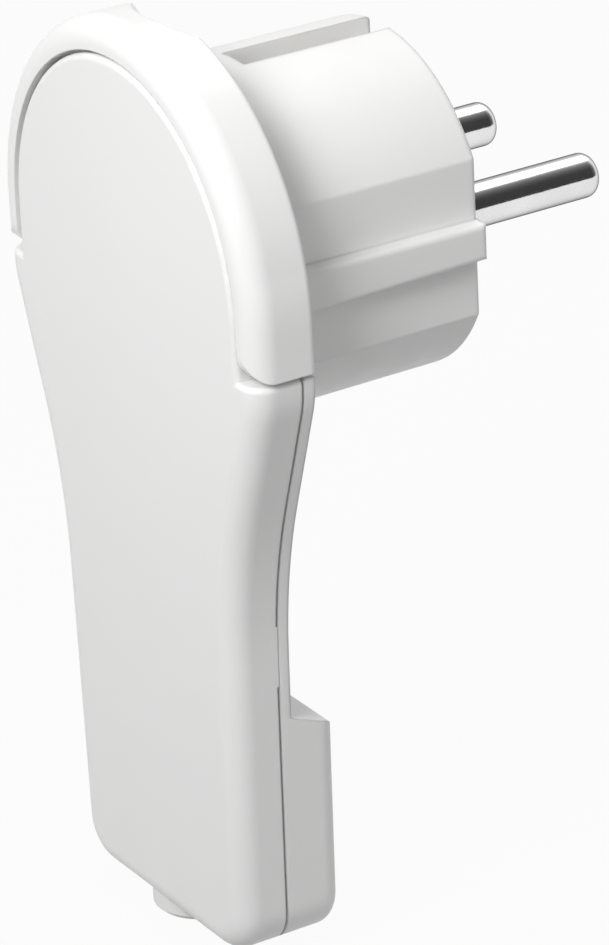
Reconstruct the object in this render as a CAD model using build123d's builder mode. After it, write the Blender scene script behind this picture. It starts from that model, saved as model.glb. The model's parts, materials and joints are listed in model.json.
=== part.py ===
"""Flat angled plug: two round pins, keyhole-shaped flat body and a hinged horseshoe pull bail.

Millimetres. The origin is the centre of the engagement face, midway between the pins. +Y runs along the
pins into the wall, +Z is up and +X is to the right as seen from the room. The front of the plug is at -Y.
"Depth" is the distance in front of the engagement face.
"""
import os

from build123d import *

# contact pins
pin_radius = 2.4
pin_spacing = 19.0
pin_length = 19.0
pin_tip_round = 1.3
pin_neck = 2.7                # in the engagement face
pin_body = 3.3                # inside the insert
pin_recess = 0.9              # end of the pin's body, behind the back of the base plate
pin_flange = 4.3
pin_flange_height = 2.0
wire_radius = 1.3
wire_inset = 3.5              # wire hole, from the end of the pin's body

# insert
insert_length = 24.9          # engagement face to the back of the base plate
insert_half_width = 19.0      # half axes of the oval section
insert_half_height = 18.5
insert_flat_x = 16.9          # side flats
insert_draft = 0.1            # growth of the section towards its root
insert_round = 0.5
face_wall = 3.0
rib_height = 1.8
rib_width = 3.9
rib_draft = 0.3
rib_round = 0.5
slot_width = 4.2              # earth contact slots
slot_depth = 3.2
slot_length = 17.7
slot_floor_wall = 1.5
slot_side_wall = 1.4
slot_end_wall = 1.4

# body
body_depth = 7.1
base_thickness = 1.2
seam_gap = 0.3
wall = 1.8
front_wall = 1.6
edge_round = 2.6              # front edges of the arm and the bail
head_round = 0.7
lip_thickness = 1.2
lip_height = 1.8
fit = 0.2                     # clearance between pieces that locate one another
running = 0.05                # clearance of a turning or sliding fit

head_radius = 21.5
bail_gap = 0.4
bail_wall = 3.3
bail_back_round = 0.6
pivot_z = -3.0
pivot_radius = 1.2
pivot_seat = 2.1              # length of the pivot pin inside the bail's leg
leg_round = 2.5               # front corner at the end of each leg, round about the pivot
leg_gap = 0.5                 # between the leg's end and the shoulder
scoop_radius = 20.0           # finger scoop at the back of the bail's crown
scoop_reach = 2.6             # towards the front, on the outside of the crown
scoop_drop = 3.2              # down to the back of the crown

shoulder_inset = 0.4          # shoulder, from the outside of the bail
shoulder_side = 2.4
shoulder_round = 10.0
shoulder_edge = 0.6
neck_half = 17.3
neck_z = -30.3
neck_round = 60.0
bottom_half = 16.2
bottom_z = -74.2
bottom_corner = 5.0
tab_length = 7.0              # closed stretch of the seam, beside the snap hooks
tab_z = -39.5

# cord box, outlet and clamp
box_depth = 5.5               # how far the box stands behind the base plate
box_height = 27.2
box_slope = 2.2
box_round = 2.0
cord_x = -2.0
cord_radius = 2.9
collar_radius = 5.1
collar_neck = 3.8
collar_flange = 4.2
collar_drop = 1.8
collar_seat = 0.8
collar_chamfer = 0.5
bushing_length = 4.2
clamp_rise = 11.7             # clamp bar, above the bottom
clamp_half = 7.9              # from the cord to each clamp screw
clamp_width = 5.8
clamp_ear = 3.0
clamp_web = 2.1               # under the screw heads
saddle_half = 5.0
saddle_width = 5.0
saddle_height = 4.1

# posts, screws and inner pieces
post_radius = 4.3             # locating post in the middle of the insert
post_top = 0.8                # skin of the front cover over its bosses
spigot_radius = 1.5
spigot_length = 2.6
boss_radius = 4.0             # tube of the cover screw
boss_rise = 8.5               # above the clamp
small_post = 2.8
screw_radius = 1.5
screw_head = 2.8
screw_head_height = 2.0
small_screw = 1.2
small_screw_head = 2.4
small_screw_head_height = 1.7
driver_slot = 0.7
screw_bite = 4.0              # thread engagement
lid_gap = 0.4                 # clearance under the front cover
bridge_gap = 0.6              # from the ends of the pin bridge to the slots' floors
bridge_rise = 5.0             # above the inside of the face
bridge_thickness = 3.0
bridge_ear = 3.0
bridge_half_width = 4.8
bridge_neck = 4.2
bow_thickness = 0.7
bow_inset = 1.2               # earth bow, behind the back of the base plate
bow_end = 2.0                 # from the engagement face
bow_bend = 1.4
terminal_half = 3.2
terminal_half_height = 2.9

# derived dimensions
pin_x = pin_spacing / 2
slot_floor = insert_half_height - slot_depth
slot_back = slot_floor - slot_floor_wall
body_back = insert_length
body_front = body_back + body_depth
inner_front = body_front - front_wall
seam = body_back + base_thickness
cover_seam = seam + seam_gap
root = body_back + base_thickness / 2      # where the insert ends, inside the base plate
pivot_depth = body_front - leg_round
leg_end = pivot_z - leg_round
bail_inner = head_radius + bail_gap
bail_radius = bail_inner + bail_wall
shoulder_half = bail_radius - shoulder_inset
shoulder_z = leg_end - leg_gap
shoulder_foot = shoulder_z - shoulder_side
box_back = body_back - box_depth
box_floor = box_back + wall
box_top = bottom_z + box_height
counterbore = box_back + screw_head_height + fit
clamp_z = bottom_z + clamp_rise
boss_z = clamp_z + boss_rise
cord_y = -seam                # the outlet lies on the seam
bushing_top = bottom_z + bushing_length
bridge_seat = face_wall + bridge_rise
bridge_z = slot_back - bridge_gap - bridge_ear
pin_end = body_back - pin_recess
wire_depth = pin_end - wire_inset
terminal_drop = slot_back - 2 * fit - terminal_half_height
past = 1.0                    # by which a cutting tool runs past a face


def depth(d):
    """Sketch plane parallel to the wall, d in front of the engagement face; it extrudes to the front."""
    return Plane.XZ.offset(d)


def corners(x, z, reach=0.1):
    """Filter for the corners near (+-x, z) of a sketch parallel to the wall."""
    return lambda v: abs(abs(v.X) - x) < reach and abs(v.Y - z) < reach


def arm_outline(inset=0.0):
    """Shoulders, slanting neck and tapering arm, drawn inset from the outside."""
    with BuildSketch() as outline:
        with BuildLine():
            Polyline((0, shoulder_z), (shoulder_half, shoulder_z), (shoulder_half, shoulder_foot),
                     (neck_half, neck_z), (bottom_half, bottom_z), (0, bottom_z))
            mirror(about=Plane.YZ)
        make_face()
        fillet(outline.vertices().filter_by(corners(shoulder_half, shoulder_foot)), shoulder_round)
        fillet(outline.vertices().filter_by(corners(neck_half, neck_z)), neck_round)
        fillet(outline.vertices().filter_by(corners(bottom_half, bottom_z)), bottom_corner)
        if inset:
            offset(amount=-inset, kind=Kind.INTERSECTION)
    return outline.sketch


def head_outline(inset=0.0):
    """Round head with straight sides that run down between the bail's legs into the arm."""
    with BuildSketch() as outline:
        Circle(head_radius - inset)
        with Locations((0, shoulder_foot / 2)):
            Rectangle(2 * (head_radius - inset), -shoulder_foot)
    return outline.sketch


def plate(near, far, inset=0.0):
    """Keyhole-shaped slab between two depths."""
    with BuildPart() as slab:
        with BuildSketch(depth(near)):
            add(arm_outline(inset))
        extrude(amount=far - near)
        with BuildSketch(depth(near)):
            add(head_outline(inset))
        extrude(amount=far - near)
    return slab.part


def frame(near, far, inset, thickness):
    """Wall that follows the keyhole outline."""
    with BuildPart() as ring:
        add(plate(near, far, inset))
        add(plate(near - past, far + past, inset + thickness), mode=Mode.SUBTRACT)
    return ring.part


def along_y(radius, near, far, x=0.0, z=0.0, mode=Mode.ADD):
    """Cylinder between two depths."""
    with Locations((x, -(near + far) / 2, z)):
        Cylinder(radius, far - near, rotation=(90, 0, 0), mode=mode)


def along_x(radius, x0, x1, y, z, mode=Mode.ADD):
    """Cylinder between two x positions."""
    with Locations(((x0 + x1) / 2, y, z)):
        Cylinder(radius, abs(x1 - x0), rotation=(0, 90, 0), mode=mode)


def along_z(radius, z0, z1, x, y, mode=Mode.ADD):
    """Cylinder between two heights."""
    with Locations((x, y, (z0 + z1) / 2)):
        Cylinder(radius, abs(z1 - z0), mode=mode)


def block(x0, x1, near, far, z0, z1, mode=Mode.ADD):
    """Box between two x positions, two depths and two heights."""
    with Locations(((x0 + x1) / 2, -(near + far) / 2, (z0 + z1) / 2)):
        Box(abs(x1 - x0), abs(far - near), abs(z1 - z0), mode=mode)


def screw(shank, head, head_height, tip, seat, x=0.0, z=0.0):
    """Cheese-head screw along Y, from its tip's depth to the depth on which its head sits."""
    out = 1 if seat > tip else -1
    top = seat + out * head_height
    slot_floor = top - out * driver_slot
    along_y(shank, min(tip, seat), max(tip, seat), x, z)
    along_y(head, min(seat, top), max(seat, top), x, z)
    block(x - head - past, x + head + past, slot_floor, top + out * past, z - driver_slot / 2, z + driver_slot / 2,
          mode=Mode.SUBTRACT)


def outlet_cuts():
    """Seat of the cord bushing in the bottom wall; the seam divides it between the two shells."""
    along_z(collar_neck, bottom_z - past, bushing_top, cord_x, cord_y, mode=Mode.SUBTRACT)
    along_z(collar_radius, bottom_z - past, bottom_z + collar_seat, cord_x, cord_y, mode=Mode.SUBTRACT)


# front cover
def cover_head():
    """Head of the front cover, a slab with its front edge slightly rounded."""
    with BuildPart() as head:
        with BuildSketch(depth(cover_seam)):
            add(head_outline())
        extrude(amount=body_front - cover_seam)
        rim = head.faces().sort_by(Axis.Y)[0].edges()
        fillet(rim.filter_by(lambda e: e.center().Z > shoulder_foot + past / 10), head_round)
    return head.part


def seam_tabs():
    """Short stretches of the cover's wall that close the seam beside the snap hooks."""
    with BuildPart() as tabs:
        add(frame(seam + running, cover_seam + past, 0, wall))
        block(-shoulder_half, shoulder_half, seam, cover_seam + past, tab_z - tab_length / 2,
              tab_z + tab_length / 2, mode=Mode.INTERSECT)
    return tabs.part


with BuildPart() as front_cover:
    with BuildSketch(depth(cover_seam)):
        add(arm_outline())
    extrude(amount=body_front - cover_seam)
    # the long front edges are well rounded, the edges along the shoulders only slightly
    rim = front_cover.faces().sort_by(Axis.Y)[0].edges()
    fillet(rim.filter_by(lambda e: e.center().Z < shoulder_z - past / 10), edge_round)
    rim = front_cover.faces().sort_by(Axis.Z)[-1].edges()
    fillet(rim.filter_by(lambda e: e.center().Y < -cover_seam - past / 10), shoulder_edge)
    add(cover_head())
    add(plate(cover_seam - past, inner_front, wall), mode=Mode.SUBTRACT)
    add(seam_tabs())
    # bosses that meet the rear shell's post and screw tube
    along_y(post_radius, seam, body_front - post_top)
    along_y(boss_radius, seam, body_front - post_top, z=boss_z)
    along_y(spigot_radius + running, seam - past, seam + spigot_length + fit, mode=Mode.SUBTRACT)
    along_y(screw_radius, seam - past, seam + screw_bite, z=boss_z, mode=Mode.SUBTRACT)
    # pivot bores and the cord outlet
    for side in (-1, 1):
        along_x(pivot_radius + running, side * (head_radius - wall - past), side * (head_radius + past),
                -pivot_depth, pivot_z, mode=Mode.SUBTRACT)
    outlet_cuts()


# rear shell: base plate, insert and cord box
def insert_section(growth=0.0):
    """Oval section with side flats."""
    Ellipse(insert_half_width + growth, insert_half_height + growth)
    Rectangle(2 * (insert_flat_x + growth), 3 * insert_half_height, mode=Mode.INTERSECT)


def ribs():
    """Two side ribs that start inside the insert's wall and grow towards its root."""
    with BuildPart() as pair:
        for side in (-1, 1):
            for plane, growth in ((depth(0), 0.0), (depth(root), rib_draft)):
                with BuildSketch(plane):
                    with Locations((side * (insert_flat_x + (rib_height - wall) / 2), 0)):
                        Rectangle(rib_height + wall + 2 * growth, rib_width + 2 * growth)
            loft(ruled=True)
        outside = pair.edges().filter_by(lambda e: abs(e.center().X) > insert_flat_x + rib_height - past / 10)
        fillet(outside.filter_by(lambda e: e.center().Y > -root + past / 10), rib_round)
    return pair.part


def cord_box():
    """Box behind the lower arm, its top sloping down to the wall."""
    with BuildPart() as box:
        with BuildSketch(depth(box_back)):
            add(arm_outline())
            with Locations((0, (box_top + bottom_z - past) / 2)):
                Rectangle(2 * shoulder_half, box_top - bottom_z + past, mode=Mode.INTERSECT)
        extrude(amount=seam - box_back)
        with BuildSketch(Plane.YZ):
            with BuildLine():
                Polyline((-box_back, box_top - box_slope), (-box_back, box_top + past),
                         (-body_back, box_top + past), (-body_back, box_top), close=True)
            make_face()
        extrude(amount=shoulder_half, both=True, mode=Mode.SUBTRACT)
        fillet(box.faces().sort_by(Axis.Y)[-1].edges(), box_round)
    return box.part


with BuildPart() as rear_shell:
    add(plate(body_back, seam))
    # insert and ribs, with draft
    with BuildSketch(depth(0)):
        insert_section()
    with BuildSketch(depth(root)):
        insert_section(insert_draft)
    loft(ruled=True)
    fillet(rear_shell.faces().sort_by(Axis.Y)[-1].edges(), insert_round)
    add(ribs())
    add(cord_box())
    # locating lip inside the cover
    add(frame(seam - running, seam + lip_height, wall + fit, lip_thickness))
    # hollows: insert and cord box
    with BuildSketch(depth(face_wall)):
        insert_section(-wall)
    extrude(amount=body_front - face_wall, mode=Mode.SUBTRACT)
    with BuildSketch(depth(box_floor)):
        add(arm_outline(wall))
        with Locations((0, box_top - box_slope - wall - box_height)):
            Rectangle(2 * shoulder_half, 2 * box_height, mode=Mode.INTERSECT)
    extrude(amount=body_front - box_floor, mode=Mode.SUBTRACT)
    # earth contact slots with walls behind and at the end, and windows there for the bow
    for side in (-1, 1):
        half = slot_width / 2
        outside = side * (insert_half_height + insert_draft + past)
        block(-half - slot_side_wall, half + slot_side_wall, face_wall / 2, slot_length + slot_end_wall,
              side * slot_back, side * (insert_half_height - slot_side_wall))
        block(-half, half, -past, slot_length, side * slot_floor, outside, mode=Mode.SUBTRACT)
        block(-half, half, slot_length - past, slot_length + slot_end_wall + past, side * slot_floor,
              side * (slot_floor + bow_thickness + fit), mode=Mode.SUBTRACT)
    # locating post in the middle and the screw tube in the cord box
    along_y(post_radius, face_wall / 2, seam)
    along_y(spigot_radius, seam - past, seam + spigot_length)
    along_y(boss_radius, box_back + wall / 2, seam, z=boss_z)
    along_y(screw_head + fit, box_back - past, counterbore, z=boss_z, mode=Mode.SUBTRACT)
    along_y(screw_radius + fit, box_back - past, seam + past, z=boss_z, mode=Mode.SUBTRACT)
    # posts for the pin bridge and for the cord clamp, and the saddle under the cord
    for side in (-1, 1):
        x = cord_x + side * clamp_half
        along_y(small_post, face_wall / 2, bridge_seat, z=side * bridge_z)
        along_y(small_screw, bridge_seat - screw_bite, bridge_seat + past, z=side * bridge_z, mode=Mode.SUBTRACT)
        along_y(small_post, box_back + wall / 2, seam, x=x, z=clamp_z)
        along_y(small_screw, seam - screw_bite, seam + past, x=x, z=clamp_z, mode=Mode.SUBTRACT)
    block(cord_x - saddle_half, cord_x + saddle_half, box_back + wall / 2, box_back + wall / 2 + saddle_height,
          clamp_z - saddle_width / 2, clamp_z + saddle_width / 2)
    along_z(cord_radius, clamp_z - saddle_width, clamp_z + saddle_width, cord_x, cord_y, mode=Mode.SUBTRACT)
    # pin bores and the cord outlet
    for side in (-1, 1):
        along_y(pin_neck, -past, face_wall + past, x=side * pin_x, mode=Mode.SUBTRACT)
    outlet_cuts()

# pull bail
scoop_start = (0, -body_back - scoop_reach, bail_radius)
scoop_plane = Plane(origin=scoop_start, x_dir=(1, 0, 0), z_dir=(0, -scoop_reach, scoop_drop))

with BuildPart() as pull_bail:
    with BuildSketch(depth(body_back)):
        Circle(bail_radius)
        with Locations((0, leg_end / 2)):
            Rectangle(2 * bail_radius, -leg_end)
        Circle(bail_inner, mode=Mode.SUBTRACT)
        with Locations((0, leg_end)):
            Rectangle(2 * bail_inner, -2 * leg_end, mode=Mode.SUBTRACT)
        with Locations((0, leg_end - bail_radius)):
            Rectangle(3 * bail_radius, 2 * bail_radius, mode=Mode.SUBTRACT)
    extrude(amount=body_depth)
    for y, radius in ((-body_front, min(edge_round, 0.8 * bail_wall)), (-body_back, bail_back_round)):
        outer = pull_bail.edges().filter_by(
            lambda e: abs(e.center().Y - y) < 0.01 and e.bounding_box().size.X > 2 * bail_inner + past / 10)
        fillet(outer, radius)
    # the legs' front corners are round about the pivot, so that the bail can swing out
    with BuildSketch(Plane.YZ):
        with Locations((-body_front + leg_round / 2, leg_end + leg_round / 2)):
            Rectangle(leg_round, leg_round)
        with Locations((-body_front + leg_round, leg_end + leg_round)):
            Circle(leg_round, mode=Mode.SUBTRACT)
    extrude(amount=bail_radius + past, both=True, mode=Mode.SUBTRACT)
    with BuildSketch(scoop_plane):
        with Locations((0, scoop_radius)):
            Circle(scoop_radius)
    extrude(amount=2 * bail_wall + body_depth, both=True, mode=Mode.SUBTRACT)
    for side in (-1, 1):
        along_x(pivot_radius, side * (bail_inner - past), side * (bail_inner + pivot_seat), -pivot_depth, pivot_z,
                mode=Mode.SUBTRACT)

pivot_pins = {}
for name, side in (("left", -1), ("right", 1)):
    with BuildPart() as pivot_pin:
        along_x(pivot_radius, side * (head_radius - wall + fit), side * (bail_inner + pivot_seat), -pivot_depth,
                pivot_z)
    pivot_pins[name] = pivot_pin

# contact pins with their screws
contact_pins = {}
terminal_screws = {}
for name, side in (("left", -1), ("right", 1)):
    x = side * pin_x
    with BuildPart() as contact_pin:
        along_y(pin_radius, -pin_length, face_wall, x)
        fillet(contact_pin.faces().sort_by(Axis.Y)[-1].edges(), pin_tip_round)
        along_y(pin_neck, 0, face_wall, x)
        along_y(pin_body, face_wall, pin_end, x)
        along_y(pin_flange, bridge_seat - pin_flange_height, bridge_seat, x)
        along_z(wire_radius, -pin_flange, pin_flange, x, -wire_depth, mode=Mode.SUBTRACT)
        along_y(screw_radius, wire_depth, pin_end + past, x, mode=Mode.SUBTRACT)
    contact_pins[name] = contact_pin
    with BuildPart() as terminal_screw:
        screw(screw_radius, screw_head, screw_head_height, wire_depth, pin_end, x)
    terminal_screws[name] = terminal_screw

# bridge that holds the pins down
with BuildPart() as pin_bridge:
    with BuildSketch(depth(bridge_seat)):
        Rectangle(2 * (pin_x + pin_flange + fit), 2 * bridge_half_width)
        Rectangle(2 * bridge_neck, 2 * (bridge_z + bridge_ear))
        Circle(post_radius + fit, mode=Mode.SUBTRACT)
        with Locations((pin_x, 0), (-pin_x, 0)):
            Circle(pin_body + running, mode=Mode.SUBTRACT)
        with Locations((0, bridge_z), (0, -bridge_z)):
            Circle(small_screw + running, mode=Mode.SUBTRACT)
    extrude(amount=bridge_thickness)

bridge_screws = {}
for name, side in (("upper", 1), ("lower", -1)):
    with BuildPart() as bridge_screw:
        screw(small_screw, small_screw_head, small_screw_head_height, bridge_seat - screw_bite + fit,
              bridge_seat + bridge_thickness, z=side * bridge_z)
    bridge_screws[name] = bridge_screw

# earth bow, its terminal and screw
bow_front = body_back - bow_inset
bow_back = bow_front - bow_thickness
bow_z = slot_floor + bow_thickness
with BuildPart() as earth_bow:
    with BuildSketch(Plane.YZ) as bow_path:
        with BuildLine():
            Polyline((-bow_end, bow_z), (-bow_front, bow_z), (-bow_front, -bow_z), (-bow_end, -bow_z),
                     (-bow_end, -slot_floor), (-bow_back, -slot_floor), (-bow_back, slot_floor),
                     (-bow_end, slot_floor), close=True)
        make_face()
        fillet(bow_path.vertices().filter_by(lambda v: v.X < -bow_front + past / 10), bow_bend)
    extrude(amount=slot_width / 2 - fit, both=True)
    along_y(pin_x - pin_body - fit, bow_back, bow_front)
    along_y(post_radius + fit, bow_back - past, bow_front + past, mode=Mode.SUBTRACT)

terminal_top = inner_front - lid_gap - screw_head_height
terminal_hole = (bow_front + terminal_top) / 2
with BuildPart() as earth_terminal:
    block(-terminal_half, terminal_half, bow_front, terminal_top, -terminal_drop - terminal_half_height,
          -terminal_drop + terminal_half_height)
    along_z(wire_radius, -terminal_drop - terminal_half, -terminal_drop + terminal_half, 0, -terminal_hole,
            mode=Mode.SUBTRACT)
    along_y(screw_radius, terminal_hole, terminal_top + past, z=-terminal_drop, mode=Mode.SUBTRACT)

with BuildPart() as earth_screw:
    screw(screw_radius, screw_head, screw_head_height, terminal_hole, terminal_top, z=-terminal_drop)

# cord clamp and bushing
clamp_seat = seam + clamp_web
clamp_top = inner_front - lid_gap
with BuildPart() as cord_clamp:
    block(cord_x - clamp_half - clamp_ear, cord_x + clamp_half + clamp_ear, seam, clamp_top,
          clamp_z - clamp_width / 2, clamp_z + clamp_width / 2)
    along_z(cord_radius, clamp_z - clamp_width, clamp_z + clamp_width, cord_x, cord_y, mode=Mode.SUBTRACT)
    for side in (-1, 1):
        x = cord_x + side * clamp_half
        along_y(small_screw + running, seam - past, clamp_top, x, clamp_z, mode=Mode.SUBTRACT)
        along_y(small_screw_head + running, clamp_seat, clamp_top + past, x, clamp_z, mode=Mode.SUBTRACT)

clamp_screws = {}
for name, side in (("left", -1), ("right", 1)):
    with BuildPart() as clamp_screw:
        screw(small_screw, small_screw_head, small_screw_head_height, seam - screw_bite + fit, clamp_seat,
              cord_x + side * clamp_half, clamp_z)
    clamp_screws[name] = clamp_screw

with BuildPart() as cord_bushing:
    along_z(collar_radius, bottom_z - collar_drop, bottom_z + collar_seat, cord_x, cord_y)
    along_z(collar_neck, bottom_z, bushing_top, cord_x, cord_y)
    along_z(collar_flange, bottom_z + wall, bushing_top, cord_x, cord_y)
    along_z(cord_radius, bottom_z - collar_drop - past, bushing_top + past, cord_x, cord_y, mode=Mode.SUBTRACT)
    chamfer(cord_bushing.edges().filter_by(GeomType.CIRCLE).sort_by(Axis.Z)[0:2], collar_chamfer)

# cover screw
with BuildPart() as cover_screw:
    screw(screw_radius, screw_head, screw_head_height, seam + screw_bite - fit, counterbore, z=boss_z)

# export
nodes = {
    "front_cover": front_cover,
    "rear_shell": rear_shell,
    "pull_bail": pull_bail,
    "pivot_pin_left": pivot_pins["left"],
    "pivot_pin_right": pivot_pins["right"],
    "contact_pin_left": contact_pins["left"],
    "contact_pin_right": contact_pins["right"],
    "terminal_screw_left": terminal_screws["left"],
    "terminal_screw_right": terminal_screws["right"],
    "pin_bridge": pin_bridge,
    "bridge_screw_upper": bridge_screws["upper"],
    "bridge_screw_lower": bridge_screws["lower"],
    "earth_bow": earth_bow,
    "earth_terminal": earth_terminal,
    "earth_screw": earth_screw,
    "cord_clamp": cord_clamp,
    "clamp_screw_left": clamp_screws["left"],
    "clamp_screw_right": clamp_screws["right"],
    "cord_bushing": cord_bushing,
    "cover_screw": cover_screw,
}
os.makedirs("parts", exist_ok=True)
for name, node in nodes.items():
    node.part.label = name
    export_step(node.part, f"parts/{name}.step")
    box_size = node.part.bounding_box().size
    print(f"{name}: {box_size.X:.1f} x {box_size.Y:.1f} x {box_size.Z:.1f}, volume {node.part.volume:.0f}")
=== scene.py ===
"""Flat angled plug: materials, studio light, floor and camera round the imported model."""
import json
import math

import bpy
from mathutils import Matrix, Vector


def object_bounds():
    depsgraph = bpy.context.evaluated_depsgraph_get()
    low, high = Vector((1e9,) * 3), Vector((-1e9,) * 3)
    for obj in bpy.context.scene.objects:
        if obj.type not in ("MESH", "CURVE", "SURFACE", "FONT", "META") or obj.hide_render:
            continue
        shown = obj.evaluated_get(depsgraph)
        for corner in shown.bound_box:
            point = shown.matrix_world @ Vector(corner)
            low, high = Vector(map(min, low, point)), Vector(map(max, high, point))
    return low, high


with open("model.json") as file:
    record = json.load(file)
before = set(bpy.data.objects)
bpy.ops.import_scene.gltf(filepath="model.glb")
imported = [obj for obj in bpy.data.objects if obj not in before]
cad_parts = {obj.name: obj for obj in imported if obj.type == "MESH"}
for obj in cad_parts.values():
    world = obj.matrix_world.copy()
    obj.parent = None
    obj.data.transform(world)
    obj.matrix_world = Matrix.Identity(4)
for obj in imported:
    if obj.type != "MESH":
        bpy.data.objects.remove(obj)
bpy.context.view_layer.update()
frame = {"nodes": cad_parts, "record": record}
nodes = frame["nodes"]
scene = bpy.context.scene
scene.view_settings.view_transform = "Standard"

WHITE = (1, 1, 1, 1)

# camera at the photograph's angle
IMAGE = (609, 945)
AZIMUTH, ELEVATION, ROLL = (math.radians(a) for a in (59.037, 24.437, 2.85))
FOCAL_PX = 5567.824
ORIGIN_PX = (387.6, 188.6)           # where the CAD origin lies in the photograph
DISTANCE = 0.576851                  # from the camera to the origin, along the view
SENSOR = 36                          # millimetres, along the picture's longer side
CLIP = (0.01, 20)


def place_camera():
    """Pinhole camera turned to the angles above, with the origin at its place in the picture."""
    back = Vector((math.sin(AZIMUTH) * math.cos(ELEVATION), -math.cos(AZIMUTH) * math.cos(ELEVATION),
                   math.sin(ELEVATION)))
    forward = -back
    level = Vector((math.cos(AZIMUTH), math.sin(AZIMUTH), 0))
    plumb = -level.cross(forward)
    right = math.cos(ROLL) * level + math.sin(ROLL) * plumb
    down = -math.sin(ROLL) * level + math.cos(ROLL) * plumb
    x = (ORIGIN_PX[0] - IMAGE[0] / 2) * DISTANCE / FOCAL_PX
    y = (ORIGIN_PX[1] - IMAGE[1] / 2) * DISTANCE / FOCAL_PX
    centre = -(x * right + y * down + DISTANCE * forward)
    data = bpy.data.cameras.new("camera")
    data.sensor_width = SENSOR
    data.lens = FOCAL_PX * SENSOR / max(IMAGE)
    data.clip_start, data.clip_end = CLIP
    camera = bpy.data.objects.new("camera", data)
    scene.collection.objects.link(camera)
    turn = Matrix((right, -down, back)).transposed()
    camera.matrix_world = Matrix.Translation(centre) @ turn.to_4x4()
    scene.camera = camera


place_camera()


# materials
NOISE_RANGE = (0.3, 0.7)             # where most of a noise's values lie
FLOW_SCALE = 28                      # scales are in cycles per metre
FLOW_SHADE = 0.985
POLISH_SCALE = 260
POLISH_RANGE = (0.88, 1.12)          # shares of a plastic's roughness
GRAIN_STRENGTH = 0.35
PLASTIC_IOR = 1.5
TARNISH_SCALE = 180
TARNISH_SHADE = 0.86
SPECK_SCALE = 4200
SPECK_SHARE = 0.45
MARK_STRENGTH = 0.3
METAL_EDGE = 5e-5                    # radius of a metal's softened edges


class Nodes:
    """Short calls for a material's node tree."""

    def __init__(self, name):
        self.material = bpy.data.materials.new(name)
        self.material.use_nodes = True
        self.tree = self.material.node_tree
        self.shader = self.tree.nodes["Principled BSDF"]

    def add(self, kind, **values):
        """New node. A value goes to the socket of that name or, where there is none, to the node itself."""
        node = self.tree.nodes.new(kind)
        for key, value in values.items():
            if key in node.inputs:
                node.inputs[key].default_value = value
            else:
                setattr(node, key, value)
        return node

    def link(self, source, target):
        self.tree.links.new(source, target)

    def noise(self, scale, detail=2.0, roughness=0.5, stretch=(1, 1, 1)):
        """3-D noise in object space."""
        coordinates = self.add("ShaderNodeTexCoord")
        mapping = self.add("ShaderNodeMapping", Scale=stretch)
        texture = self.add("ShaderNodeTexNoise", Scale=scale, Detail=detail, Roughness=roughness)
        self.link(coordinates.outputs["Object"], mapping.inputs["Vector"])
        self.link(mapping.outputs["Vector"], texture.inputs["Vector"])
        return texture.outputs["Fac"]

    def between(self, source, low, high):
        """Spreads a noise's usual range over low to high."""
        spread = self.add("ShaderNodeMapRange")
        for name, value in zip(("From Min", "From Max", "To Min", "To Max"), (*NOISE_RANGE, low, high)):
            spread.inputs[name].default_value = value
        self.link(source, spread.inputs["Value"])
        return spread.outputs["Result"]

    def blend(self, first, second, share):
        """Mix of two values, with the given share of the second."""
        mix = self.add("ShaderNodeMix", Factor=share)
        self.link(first, mix.inputs["A"])
        self.link(second, mix.inputs["B"])
        return mix.outputs["Result"]

    def colours(self, source, low, high):
        """Base colour that runs from low to high over a noise's usual range."""
        ramp = self.add("ShaderNodeValToRGB")
        for element, position, colour in zip(ramp.color_ramp.elements, NOISE_RANGE, (low, high)):
            element.position = position
            element.color = (*colour, 1)
        self.link(source, ramp.inputs["Fac"])
        self.link(ramp.outputs["Color"], self.shader.inputs["Base Color"])

    def bump(self, source, strength, depth, edge):
        """Fine relief, over edges that look rounded to a small radius."""
        bump = self.add("ShaderNodeBump", Strength=strength, Distance=depth)
        self.link(source, bump.inputs["Height"])
        self.link(self.add("ShaderNodeBevel", Radius=edge).outputs["Normal"], bump.inputs["Normal"])
        self.link(bump.outputs["Normal"], self.shader.inputs["Normal"])


def shade(colour, factor):
    """The colour, darkened."""
    return tuple(c * factor for c in colour)


def plastic(name, colour, roughness, grain, grain_depth, edge):
    """Moulded plastic: faint flow shading and a fine grain from the mould."""
    m = Nodes(name)
    m.colours(m.noise(FLOW_SCALE, detail=3), shade(colour, FLOW_SHADE), colour)
    fine = m.noise(grain, detail=3, roughness=0.6)
    low, high = (roughness * share for share in POLISH_RANGE)
    m.link(m.between(m.noise(POLISH_SCALE), low, high), m.shader.inputs["Roughness"])
    m.bump(fine, GRAIN_STRENGTH, grain_depth, edge)
    m.shader.inputs["IOR"].default_value = PLASTIC_IOR
    return m.material


def metal(name, colour, low, high, grain, stretch=(1, 1, 1), depth=2e-6, rim=1.0):
    """Plated or turned metal with fine marks and small dull specks.

    Its roughness runs from low to high. rim is what is left of the reflection at a grazing angle.
    """
    m = Nodes(name)
    marks = m.noise(grain, detail=4, roughness=0.6, stretch=stretch)
    specks = m.noise(SPECK_SCALE, roughness=0.7)
    tarnish = m.blend(m.noise(TARNISH_SCALE, detail=3), specks, SPECK_SHARE)
    m.colours(tarnish, shade(colour, TARNISH_SHADE), colour)
    m.shader.inputs["Metallic"].default_value = 1.0
    m.shader.inputs["Specular Tint"].default_value = (rim, rim, rim, 1)
    m.link(m.between(marks, low, high), m.shader.inputs["Roughness"])
    m.bump(marks, MARK_STRENGTH, depth, METAL_EDGE)
    return m.material


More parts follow.
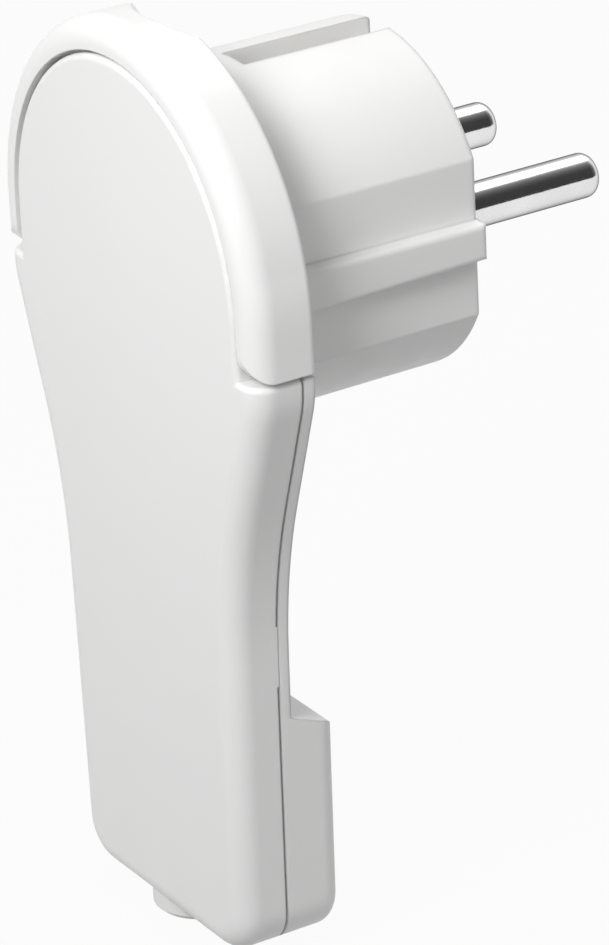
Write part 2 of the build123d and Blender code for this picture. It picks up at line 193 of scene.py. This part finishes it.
# colour, roughness, scale and depth of the grain, radius of the softened edges
PLASTICS = {
    "cover_plastic": ((0.845, 0.845, 0.84), 0.42, 9000, 4e-6, 3e-4),
    "shell_plastic": ((0.84, 0.84, 0.835), 0.38, 9000, 3e-6, 6e-4),
    "bail_plastic": ((0.855, 0.855, 0.85), 0.13, 3500, 8e-7, 2e-4),
    "bushing_plastic": ((0.83, 0.83, 0.82), 0.45, 7000, 4e-6, 3e-4),
    "inner_plastic": ((0.62, 0.62, 0.60), 0.5, 6000, 5e-6, 2e-4),
}

# colour, least and most roughness, scale of the marks, and where needed their stretch, their depth and the rim
METALS = {
    "pin_nickel": ((0.86, 0.86, 0.86), 0.05, 0.16, 3200, (1, 0.4, 1), 1.2e-5, 0.15),
    "earth_metal": ((0.74, 0.72, 0.66), 0.22, 0.34, 3000, (1, 0.15, 1)),
    "terminal_brass": ((0.78, 0.60, 0.30), 0.25, 0.38, 2800),
    "screw_steel": ((0.60, 0.60, 0.61), 0.28, 0.42, 3600),
}

materials = {name: plastic(name, *values) for name, values in PLASTICS.items()}
materials.update({name: metal(name, *values) for name, values in METALS.items()})

for part in frame["record"]["subparts"]:
    node = nodes[part["node"]]
    node.data.materials.clear()
    node.data.materials.append(materials[part["material_slot"]])

# floor
FLOOR_HALF = 3.0                     # half of its side
FLOOR_GAP = 2e-4                     # below the lowest piece, so that no two faces share a plane
FLOOR_COLOUR = (0.42, 0.42, 0.42, 1)
FLOOR_ROUGHNESS = 0.9
FLOOR_GLOW = 0.95                    # share of white in what the camera and reflections see of it


def make_floor():
    """Floor that is nearly white to the camera and in reflections, and still takes the shadow."""
    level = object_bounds()[0][2] - FLOOR_GAP
    mesh = bpy.data.meshes.new("floor")
    corners = [(x * FLOOR_HALF, y * FLOOR_HALF, level) for x, y in ((-1, -1), (1, -1), (1, 1), (-1, 1))]
    mesh.from_pydata(corners, [], [(0, 1, 2, 3)])
    floor = bpy.data.objects.new("floor", mesh)
    scene.collection.objects.link(floor)
    m = Nodes("floor")
    m.shader.inputs["Base Color"].default_value = FLOOR_COLOUR
    m.shader.inputs["Roughness"].default_value = FLOOR_ROUGHNESS
    paths = m.add("ShaderNodeLightPath")
    seen = m.add("ShaderNodeMath", operation="MAXIMUM")
    m.link(paths.outputs["Is Camera Ray"], seen.inputs[0])
    m.link(paths.outputs["Is Glossy Ray"], seen.inputs[1])
    share = m.add("ShaderNodeMath", operation="MULTIPLY")
    share.inputs[1].default_value = FLOOR_GLOW
    m.link(seen.outputs["Value"], share.inputs[0])
    glow = m.add("ShaderNodeEmission", Color=WHITE, Strength=1.0)
    mix = m.add("ShaderNodeMixShader")
    m.link(share.outputs["Value"], mix.inputs["Fac"])
    m.link(m.shader.outputs["BSDF"], mix.inputs[1])
    m.link(glow.outputs["Emission"], mix.inputs[2])
    m.link(mix.outputs["Shader"], m.tree.nodes["Material Output"].inputs["Surface"])
    floor.data.materials.append(m.material)


make_floor()


# light
FILL = 0.45                          # world light on the object
DARK_SIDE = (0.94, 0.0, 0.342)       # direction of the studio's unlit side, on the camera's right
# how far a reflection points to the dark side, and how bright the studio is there
STUDIO = ((0.0, 1.0), (0.12, 1.0), (0.30, 0.60), (0.43, 0.26), (0.62, 0.12), (0.78, 0.055), (1.0, 0.04))
# name, place, size, power in watts, target, spread in degrees, and whether reflections show the lamp
LAMPS = (
    ("key", (0.11, -0.25, 0.21), (0.18, 0.14), 0.150, (0, -0.02, 0.015), 65, True),
    ("back", (-0.135, 0.168, 0.288), (0.28, 0.24), 0.23, (0, 0, 0), 180, True),
    ("low", (0.24, 0.08, -0.06), (0.16, 0.10), 0.013, (0, -0.01, -0.01), 120, False),
)


def make_world():
    """White for the camera, a plain soft fill, and for reflections a white studio with one dark side."""
    world = bpy.data.worlds.new("studio")
    scene.world = world
    world.use_nodes = True
    tree = world.node_tree
    background = tree.nodes["Background"]
    background.inputs["Color"].default_value = WHITE
    paths = tree.nodes.new("ShaderNodeLightPath")
    coordinates = tree.nodes.new("ShaderNodeTexCoord")
    toward = tree.nodes.new("ShaderNodeVectorMath")
    toward.operation = "DOT_PRODUCT"
    toward.inputs[1].default_value = DARK_SIDE
    sides = tree.nodes.new("ShaderNodeValToRGB")
    elements = sides.color_ramp.elements
    for position, _ in STUDIO[1:-1]:
        elements.new(position)
    for element, (_, level) in zip(elements, STUDIO):
        element.color = (level, level, level, 1)
    reflected, seen = (tree.nodes.new("ShaderNodeMix") for _ in range(2))
    reflected.inputs["A"].default_value = FILL
    seen.inputs["B"].default_value = 1.0
    for source, target in ((coordinates.outputs["Generated"], toward.inputs[0]),
                           (toward.outputs["Value"], sides.inputs["Fac"]),
                           (sides.outputs["Color"], reflected.inputs["B"]),
                           (paths.outputs["Is Glossy Ray"], reflected.inputs["Factor"]),
                           (reflected.outputs["Result"], seen.inputs["A"]),
                           (paths.outputs["Is Camera Ray"], seen.inputs["Factor"]),
                           (seen.outputs["Result"], background.inputs["Strength"])):
        tree.links.new(source, target)


def softbox(name, place, size, power, target, spread, reflected):
    """Rectangular lamp that faces its target."""
    data = bpy.data.lights.new(name, "AREA")
    data.shape = "RECTANGLE"
    data.size, data.size_y = size
    data.energy = power
    data.spread = math.radians(spread)
    lamp = bpy.data.objects.new(name, data)
    scene.collection.objects.link(lamp)
    place, target = Vector(place), Vector(target)
    lamp.location = place
    lamp.rotation_euler = (target - place).to_track_quat("-Z", "Y").to_euler()
    lamp.visible_glossy = reflected


make_world()
for values in LAMPS:
    softbox(*values)
